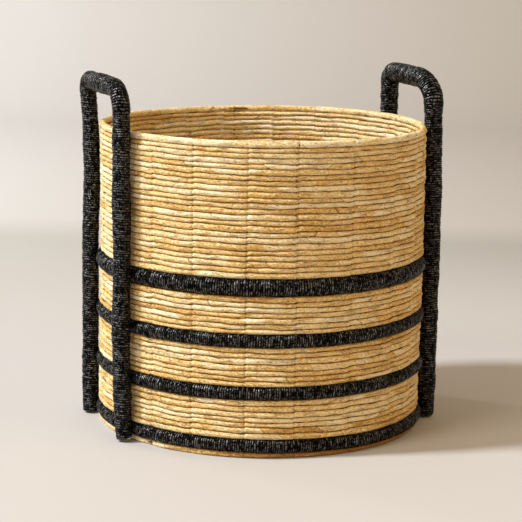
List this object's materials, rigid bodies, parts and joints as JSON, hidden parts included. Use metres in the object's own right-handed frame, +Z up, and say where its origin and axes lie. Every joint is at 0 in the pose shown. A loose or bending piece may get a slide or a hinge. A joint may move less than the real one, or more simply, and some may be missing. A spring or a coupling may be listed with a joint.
{
  "type": "round storage basket",
  "caption": "Round open storage basket: straw-coloured rope wall between black cord-wrapped hoops, with an upright wrapped handle on each side.",
  "frame": {"origin": "centre of the footprint, on the floor", "axes": "+Z up; the two handles stand on the X axis, one at -X (left) and one at +X (right)"},
  "size_m": [0.4514, 0.4382, 0.466],
  "materials": {
    "straw_rope": "dry twisted plant-fibre rope, matte with a slight straw sheen",
    "black_cord": "tightly wound black paper cord, semi-gloss",
    "frame_steel": "black powder coat",
    "leg_plug": "matte moulded"
  },
  "bodies": {
    "root": {"rim_ring": "frame_steel", "hoop_tube_1": "frame_steel", "hoop_tube_2": "frame_steel", "hoop_tube_3": "frame_steel", "hoop_tube_4": "frame_steel", "foot_ring": "frame_steel", "stakes_1": "frame_steel", "stakes_2": "frame_steel", "stakes_3": "frame_steel", "stakes_4": "frame_steel", "stakes_5": "frame_steel", "base_hub": "frame_steel", "base_spokes": "frame_steel", "handle_tube_left": "frame_steel", "handle_tube_right": "frame_steel", "weld_pads_left": "frame_steel", "weld_pads_right": "frame_steel", "leg_plugs_left": "leg_plug", "leg_plugs_right": "leg_plug", "hoop_wrap_1": "black_cord", "hoop_wrap_2": "black_cord", "hoop_wrap_3": "black_cord", "hoop_wrap_4": "black_cord", "handle_wrap_left": "black_cord", "handle_wrap_right": "black_cord", "rim_rope": "straw_rope", "wall_rows_1": "straw_rope", "wall_rows_2": "straw_rope", "wall_rows_3": "straw_rope", "wall_rows_4": "straw_rope", "foot_rope": "straw_rope", "base_coil": "straw_rope"}
  },
  "joints": []
}
